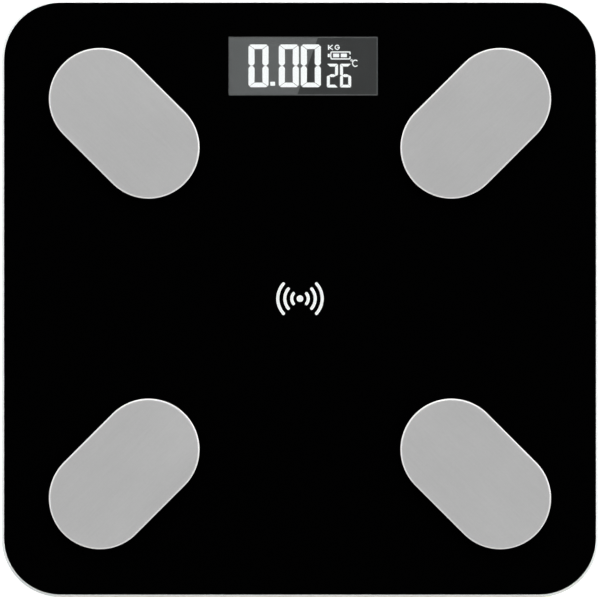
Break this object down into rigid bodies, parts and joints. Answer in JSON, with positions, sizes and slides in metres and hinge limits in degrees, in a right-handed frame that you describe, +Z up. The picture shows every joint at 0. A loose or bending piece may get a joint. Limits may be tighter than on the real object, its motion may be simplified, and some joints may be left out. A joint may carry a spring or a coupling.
{
  "type": "digital bathroom scale",
  "caption": "Square black-glass bathroom scale with rounded corners, slanted steel contact pads, a display window near the rear edge and a white base on round feet.",
  "frame": {"origin": "on the floor below the middle of the platform, at the feet's undersides", "axes": "+Z up, +Y towards the edge with the display, +X to the right of someone who reads the display upright"},
  "size_m": [0.26, 0.26, 0.0254],
  "materials": {
    "toughened_glass": "clear toughened float glass, polished edges",
    "black_ink": "opaque black screen print",
    "white_ink": "white screen print",
    "bond_foam": "double-sided foam tape",
    "contact_steel": "fine satin stainless steel",
    "clear_adhesive": "acrylic adhesive film",
    "plated_steel": "zinc or nickel plated small hardware",
    "white_abs": "fine-textured white moulding",
    "label_film": "plain blank label film",
    "grey_rubber": "soft non-slip rubber",
    "cell_steel": "stamped alloy steel",
    "white_silicone": "silicone sealing coat",
    "lcd_glass": "negative display, dark grey",
    "backlight_acrylic": "light guide with diffuser",
    "black_abs": "black moulding",
    "contact_rubber": "elastomer contact strip",
    "board_laminate": "green solder mask",
    "component_epoxy": "moulded component bodies",
    "connector_nylon": "natural nylon",
    "battery_jacket": "plain printed jacket",
    "lead_insulation": "coloured lead insulation"
  },
  "bodies": {
    "scale": {"glass_platform": "toughened_glass", "screen_print": "black_ink", "wireless_icon": "white_ink", "bond_tape_frame": "bond_foam", "bond_tape_rings": "bond_foam", "electrode_adhesive": "clear_adhesive", "electrode_washers": "black_abs", "electrode_terminals": "plated_steel", "electrode_nuts": "plated_steel", "base_shell": "white_abs", "rating_label": "label_film", "foot_ring_screws": "plated_steel", "board_screws": "plated_steel", "gauge_coats": "white_silicone", "lcd_cell": "lcd_glass", "lcd_backlight": "backlight_acrylic", "lcd_frame": "black_abs", "lcd_contact_strip": "contact_rubber", "main_board": "board_laminate", "board_chips": "component_epoxy", "wireless_module": "plated_steel", "board_connectors": "connector_nylon", "unit_switch": "black_abs", "battery_cell_rear": "battery_jacket", "battery_cell_front": "battery_jacket", "battery_contacts": "plated_steel", "battery_springs": "plated_steel", "load_cell_leads": "lead_insulation", "electrode_leads": "lead_insulation", "battery_leads": "lead_insulation", "electrode_rear_left": "contact_steel", "foot_ring_rear_left": "white_abs", "load_cell_rear_left": "cell_steel", "electrode_rear_right": "contact_steel", "foot_ring_rear_right": "white_abs", "load_cell_rear_right": "cell_steel", "electrode_front_left": "contact_steel", "foot_ring_front_left": "white_abs", "load_cell_front_left": "cell_steel", "electrode_front_right": "contact_steel", "foot_ring_front_right": "white_abs", "load_cell_front_right": "cell_steel"},
    "foot_rear_left": {"foot_cup_rear_left": "white_abs", "foot_pad_rear_left": "grey_rubber"},
    "foot_rear_right": {"foot_cup_rear_right": "white_abs", "foot_pad_rear_right": "grey_rubber"},
    "foot_front_left": {"foot_cup_front_left": "white_abs", "foot_pad_front_left": "grey_rubber"},
    "foot_front_right": {"foot_cup_front_right": "white_abs", "foot_pad_front_right": "grey_rubber"},
    "unit_button": {"unit_button": "white_abs", "unit_switch_plunger": "black_abs"},
    "battery_door": {"battery_door": "white_abs", "battery_door_latch": "white_abs"}
  },
  "joints": [
    {"name": "foot_rear_left_give", "type": "slide", "parent": "scale", "child": "foot_rear_left", "axis": [0, 0, 1], "range_m": [0, 0.0005], "stiffness_N_per_m": 3000, "springref_m": -0.0035, "deforming": ["load_cell_rear_left"]},
    {"name": "foot_rear_right_give", "type": "slide", "parent": "scale", "child": "foot_rear_right", "axis": [0, 0, 1], "range_m": [0, 0.0005], "stiffness_N_per_m": 3000, "springref_m": -0.0035, "deforming": ["load_cell_rear_right"]},
    {"name": "foot_front_left_give", "type": "slide", "parent": "scale", "child": "foot_front_left", "axis": [0, 0, 1], "range_m": [0, 0.0005], "stiffness_N_per_m": 3000, "springref_m": -0.0035, "deforming": ["load_cell_front_left"]},
    {"name": "foot_front_right_give", "type": "slide", "parent": "scale", "child": "foot_front_right", "axis": [0, 0, 1], "range_m": [0, 0.0005], "stiffness_N_per_m": 3000, "springref_m": -0.0035, "deforming": ["load_cell_front_right"]},
    {"name": "unit_button_press", "type": "slide", "parent": "scale", "child": "unit_button", "axis": [0, 0, 1], "range_m": [0, 0.0004], "stiffness_N_per_m": 100, "springref_m": -0.008},
    {"name": "battery_door_hinge", "type": "hinge", "parent": "scale", "child": "battery_door", "pos_m": [0, 0.02125, 0.006], "axis": [-1, 0, 0], "range_deg": [0, 90], "deforming": ["battery_door_latch"]}
  ]
}
